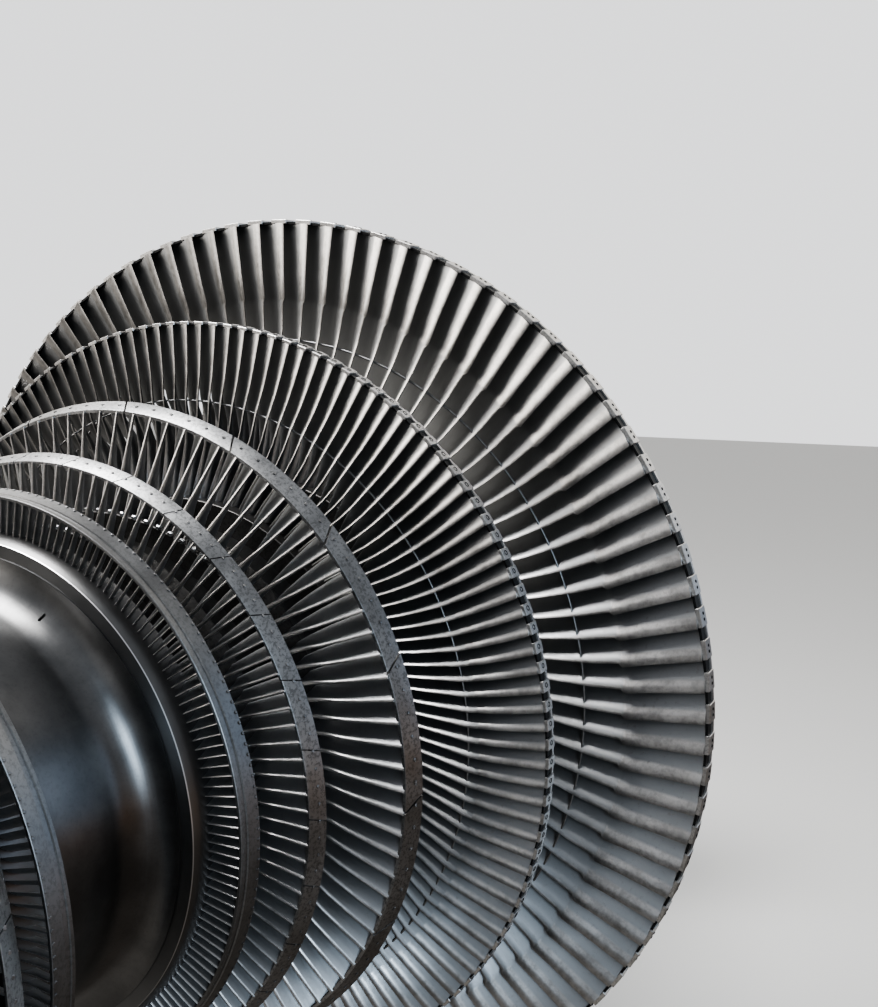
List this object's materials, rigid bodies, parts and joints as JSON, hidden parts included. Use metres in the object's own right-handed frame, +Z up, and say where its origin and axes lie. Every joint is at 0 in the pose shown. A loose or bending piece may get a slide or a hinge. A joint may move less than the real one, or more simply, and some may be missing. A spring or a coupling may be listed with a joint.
{
  "type": "double-flow low-pressure steam turbine rotor",
  "caption": "Solid steel turbine rotor with two mirrored sets of bladed stages, shrouded inlet rows, long free-standing last rows, journals and coupling flanges.",
  "frame": {"origin": "centre of the mating face of the drive end coupling flange", "axes": "+X along the shaft from the drive end coupling to the far coupling, +Z up, +Y to the left seen along +X"},
  "size_m": [7.2, 3.248, 3.248],
  "materials": {
    "forged_steel": "smooth turned, slightly oiled",
    "blade_steel": "polished with fine lengthwise brushing, dull in the gaps",
    "shroud_steel": "turned satin",
    "machined_steel": "fine turned"
  },
  "bodies": {
    "root": {"rotor_forging": "forged_steel", "stage_1_blades_a": "blade_steel", "stage_1_blades_b": "blade_steel", "stage_1_shroud_a": "shroud_steel", "stage_1_shroud_b": "shroud_steel", "stage_2_blades_a": "blade_steel", "stage_2_blades_b": "blade_steel", "stage_2_shroud_a": "shroud_steel", "stage_2_shroud_b": "shroud_steel", "stage_3_blades_a": "blade_steel", "stage_3_blades_b": "blade_steel", "stage_3_shroud_a": "shroud_steel", "stage_3_shroud_b": "shroud_steel", "stage_4_blades_a": "blade_steel", "stage_4_blades_b": "blade_steel", "stage_5_blades_a": "blade_steel", "stage_5_blades_b": "blade_steel", "gland_sleeve_a": "machined_steel", "gland_sleeve_b": "machined_steel", "oil_thrower_a": "machined_steel", "oil_thrower_b": "machined_steel", "coupling_half_a": "machined_steel", "coupling_half_b": "machined_steel"}
  },
  "joints": []
}
